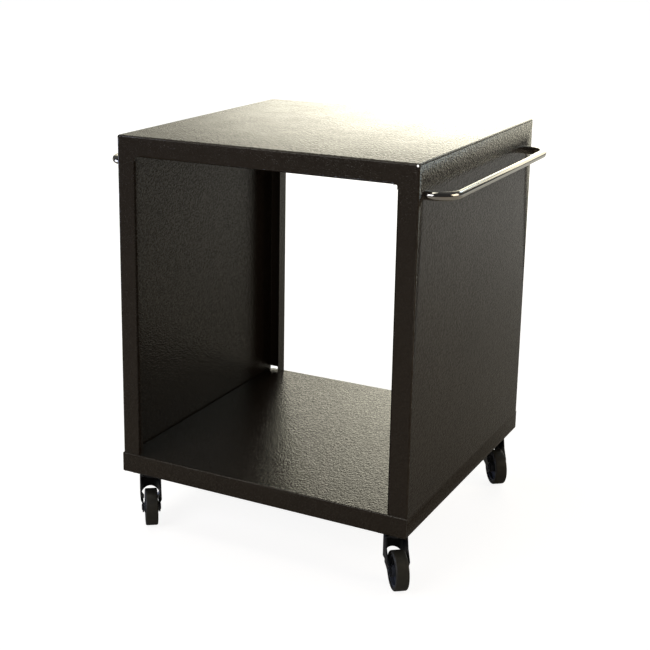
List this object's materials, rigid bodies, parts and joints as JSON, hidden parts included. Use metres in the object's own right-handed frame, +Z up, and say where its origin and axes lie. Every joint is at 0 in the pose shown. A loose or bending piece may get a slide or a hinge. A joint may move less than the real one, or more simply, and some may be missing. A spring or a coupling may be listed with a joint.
{
  "type": "outdoor pizza oven table",
  "caption": "Open steel cart with a flat top for a table-top oven, an open storage bay, a bar on each side and swivel casters.",
  "frame": {"origin": "on the floor, under the middle of the body's square footprint", "axes": "+Z up out of the table top, -Y towards the front rail, +X to the right side seen from the front"},
  "size_m": [0.732, 0.6424, 0.8],
  "materials": {
    "powder_coat": "dark bronze-brown textured powder coat",
    "polished_steel": "polished stainless tube",
    "zinc_steel": "bright zinc plate",
    "black_zinc": "black zinc, semi-gloss",
    "bearing_steel": "polished balls",
    "wheel_plastic": "dark blue-grey nylon",
    "tread_rubber": "matt black rubber"
  },
  "bodies": {
    "cart_body": {"top_panel": "powder_coat", "left_side_panel": "powder_coat", "right_side_panel": "powder_coat", "base_tray": "powder_coat", "front_base_rail": "powder_coat", "rear_caster_channel": "powder_coat", "top_stiffener": "powder_coat", "left_handle": "polished_steel", "right_handle": "polished_steel", "handle_end_plugs": "zinc_steel", "handle_bolts": "zinc_steel", "handle_washers": "zinc_steel", "caster_weld_nuts": "zinc_steel", "front_left_caster_plate": "black_zinc", "front_left_caster_kingpin": "black_zinc", "front_left_caster_lower_race": "black_zinc", "front_left_caster_plate_bolts": "black_zinc", "front_right_caster_plate": "black_zinc", "front_right_caster_kingpin": "black_zinc", "front_right_caster_lower_race": "black_zinc", "front_right_caster_plate_bolts": "black_zinc", "rear_left_caster_plate": "black_zinc", "rear_left_caster_kingpin": "black_zinc", "rear_left_caster_lower_race": "black_zinc", "rear_left_caster_plate_bolts": "black_zinc", "rear_right_caster_plate": "black_zinc", "rear_right_caster_kingpin": "black_zinc", "rear_right_caster_lower_race": "black_zinc", "rear_right_caster_plate_bolts": "black_zinc"},
    "front_left_swivel": {"front_left_caster_race_balls": "bearing_steel", "front_left_caster_fork": "black_zinc", "front_left_caster_axle_rivet": "black_zinc", "front_left_caster_axle_washers": "zinc_steel", "front_left_caster_axle_sleeve": "zinc_steel"},
    "front_left_wheel": {"front_left_caster_wheel_core": "wheel_plastic", "front_left_caster_tyre": "tread_rubber"},
    "front_right_swivel": {"front_right_caster_race_balls": "bearing_steel", "front_right_caster_fork": "black_zinc", "front_right_caster_axle_rivet": "black_zinc", "front_right_caster_axle_washers": "zinc_steel", "front_right_caster_axle_sleeve": "zinc_steel"},
    "front_right_wheel": {"front_right_caster_wheel_core": "wheel_plastic", "front_right_caster_tyre": "tread_rubber"},
    "rear_left_swivel": {"rear_left_caster_race_balls": "bearing_steel", "rear_left_caster_fork": "black_zinc", "rear_left_caster_axle_rivet": "black_zinc", "rear_left_caster_axle_washers": "zinc_steel", "rear_left_caster_axle_sleeve": "zinc_steel"},
    "rear_left_wheel": {"rear_left_caster_wheel_core": "wheel_plastic", "rear_left_caster_tyre": "tread_rubber"},
    "rear_right_swivel": {"rear_right_caster_race_balls": "bearing_steel", "rear_right_caster_fork": "black_zinc", "rear_right_caster_axle_rivet": "black_zinc", "rear_right_caster_axle_washers": "zinc_steel", "rear_right_caster_axle_sleeve": "zinc_steel"},
    "rear_right_wheel": {"rear_right_caster_wheel_core": "wheel_plastic", "rear_right_caster_tyre": "tread_rubber"}
  },
  "joints": [
    {"name": "front_left_swivel_turn", "type": "hinge", "parent": "cart_body", "child": "front_left_swivel", "pos_m": [-0.272, -0.272, 0.099], "axis": [0, 0, 1], "continuous": true},
    {"name": "front_left_wheel_spin", "type": "hinge", "parent": "front_left_swivel", "child": "front_left_wheel", "pos_m": [-0.25411, -0.29608, 0.0375], "axis": [0.8028, 0.5962, 0], "continuous": true},
    {"name": "front_right_swivel_turn", "type": "hinge", "parent": "cart_body", "child": "front_right_swivel", "pos_m": [0.272, -0.272, 0.099], "axis": [0, 0, 1], "continuous": true},
    {"name": "front_right_wheel_spin", "type": "hinge", "parent": "front_right_swivel", "child": "front_right_wheel", "pos_m": [0.29047, -0.29564, 0.0375], "axis": [0.788, 0.6157, 0], "continuous": true},
    {"name": "rear_left_swivel_turn", "type": "hinge", "parent": "cart_body", "child": "rear_left_swivel", "pos_m": [-0.272, 0.272, 0.099], "axis": [0, 0, 1], "continuous": true},
    {"name": "rear_left_wheel_spin", "type": "hinge", "parent": "rear_left_swivel", "child": "rear_left_wheel", "pos_m": [-0.25353, 0.24836, 0.0375], "axis": [0.788, 0.6157, 0], "continuous": true},
    {"name": "rear_right_swivel_turn", "type": "hinge", "parent": "cart_body", "child": "rear_right_swivel", "pos_m": [0.272, 0.272, 0.099], "axis": [0, 0, 1], "continuous": true},
    {"name": "rear_right_wheel_spin", "type": "hinge", "parent": "rear_right_swivel", "child": "rear_right_wheel", "pos_m": [0.29047, 0.24836, 0.0375], "axis": [0.788, 0.6157, 0], "continuous": true}
  ]
}
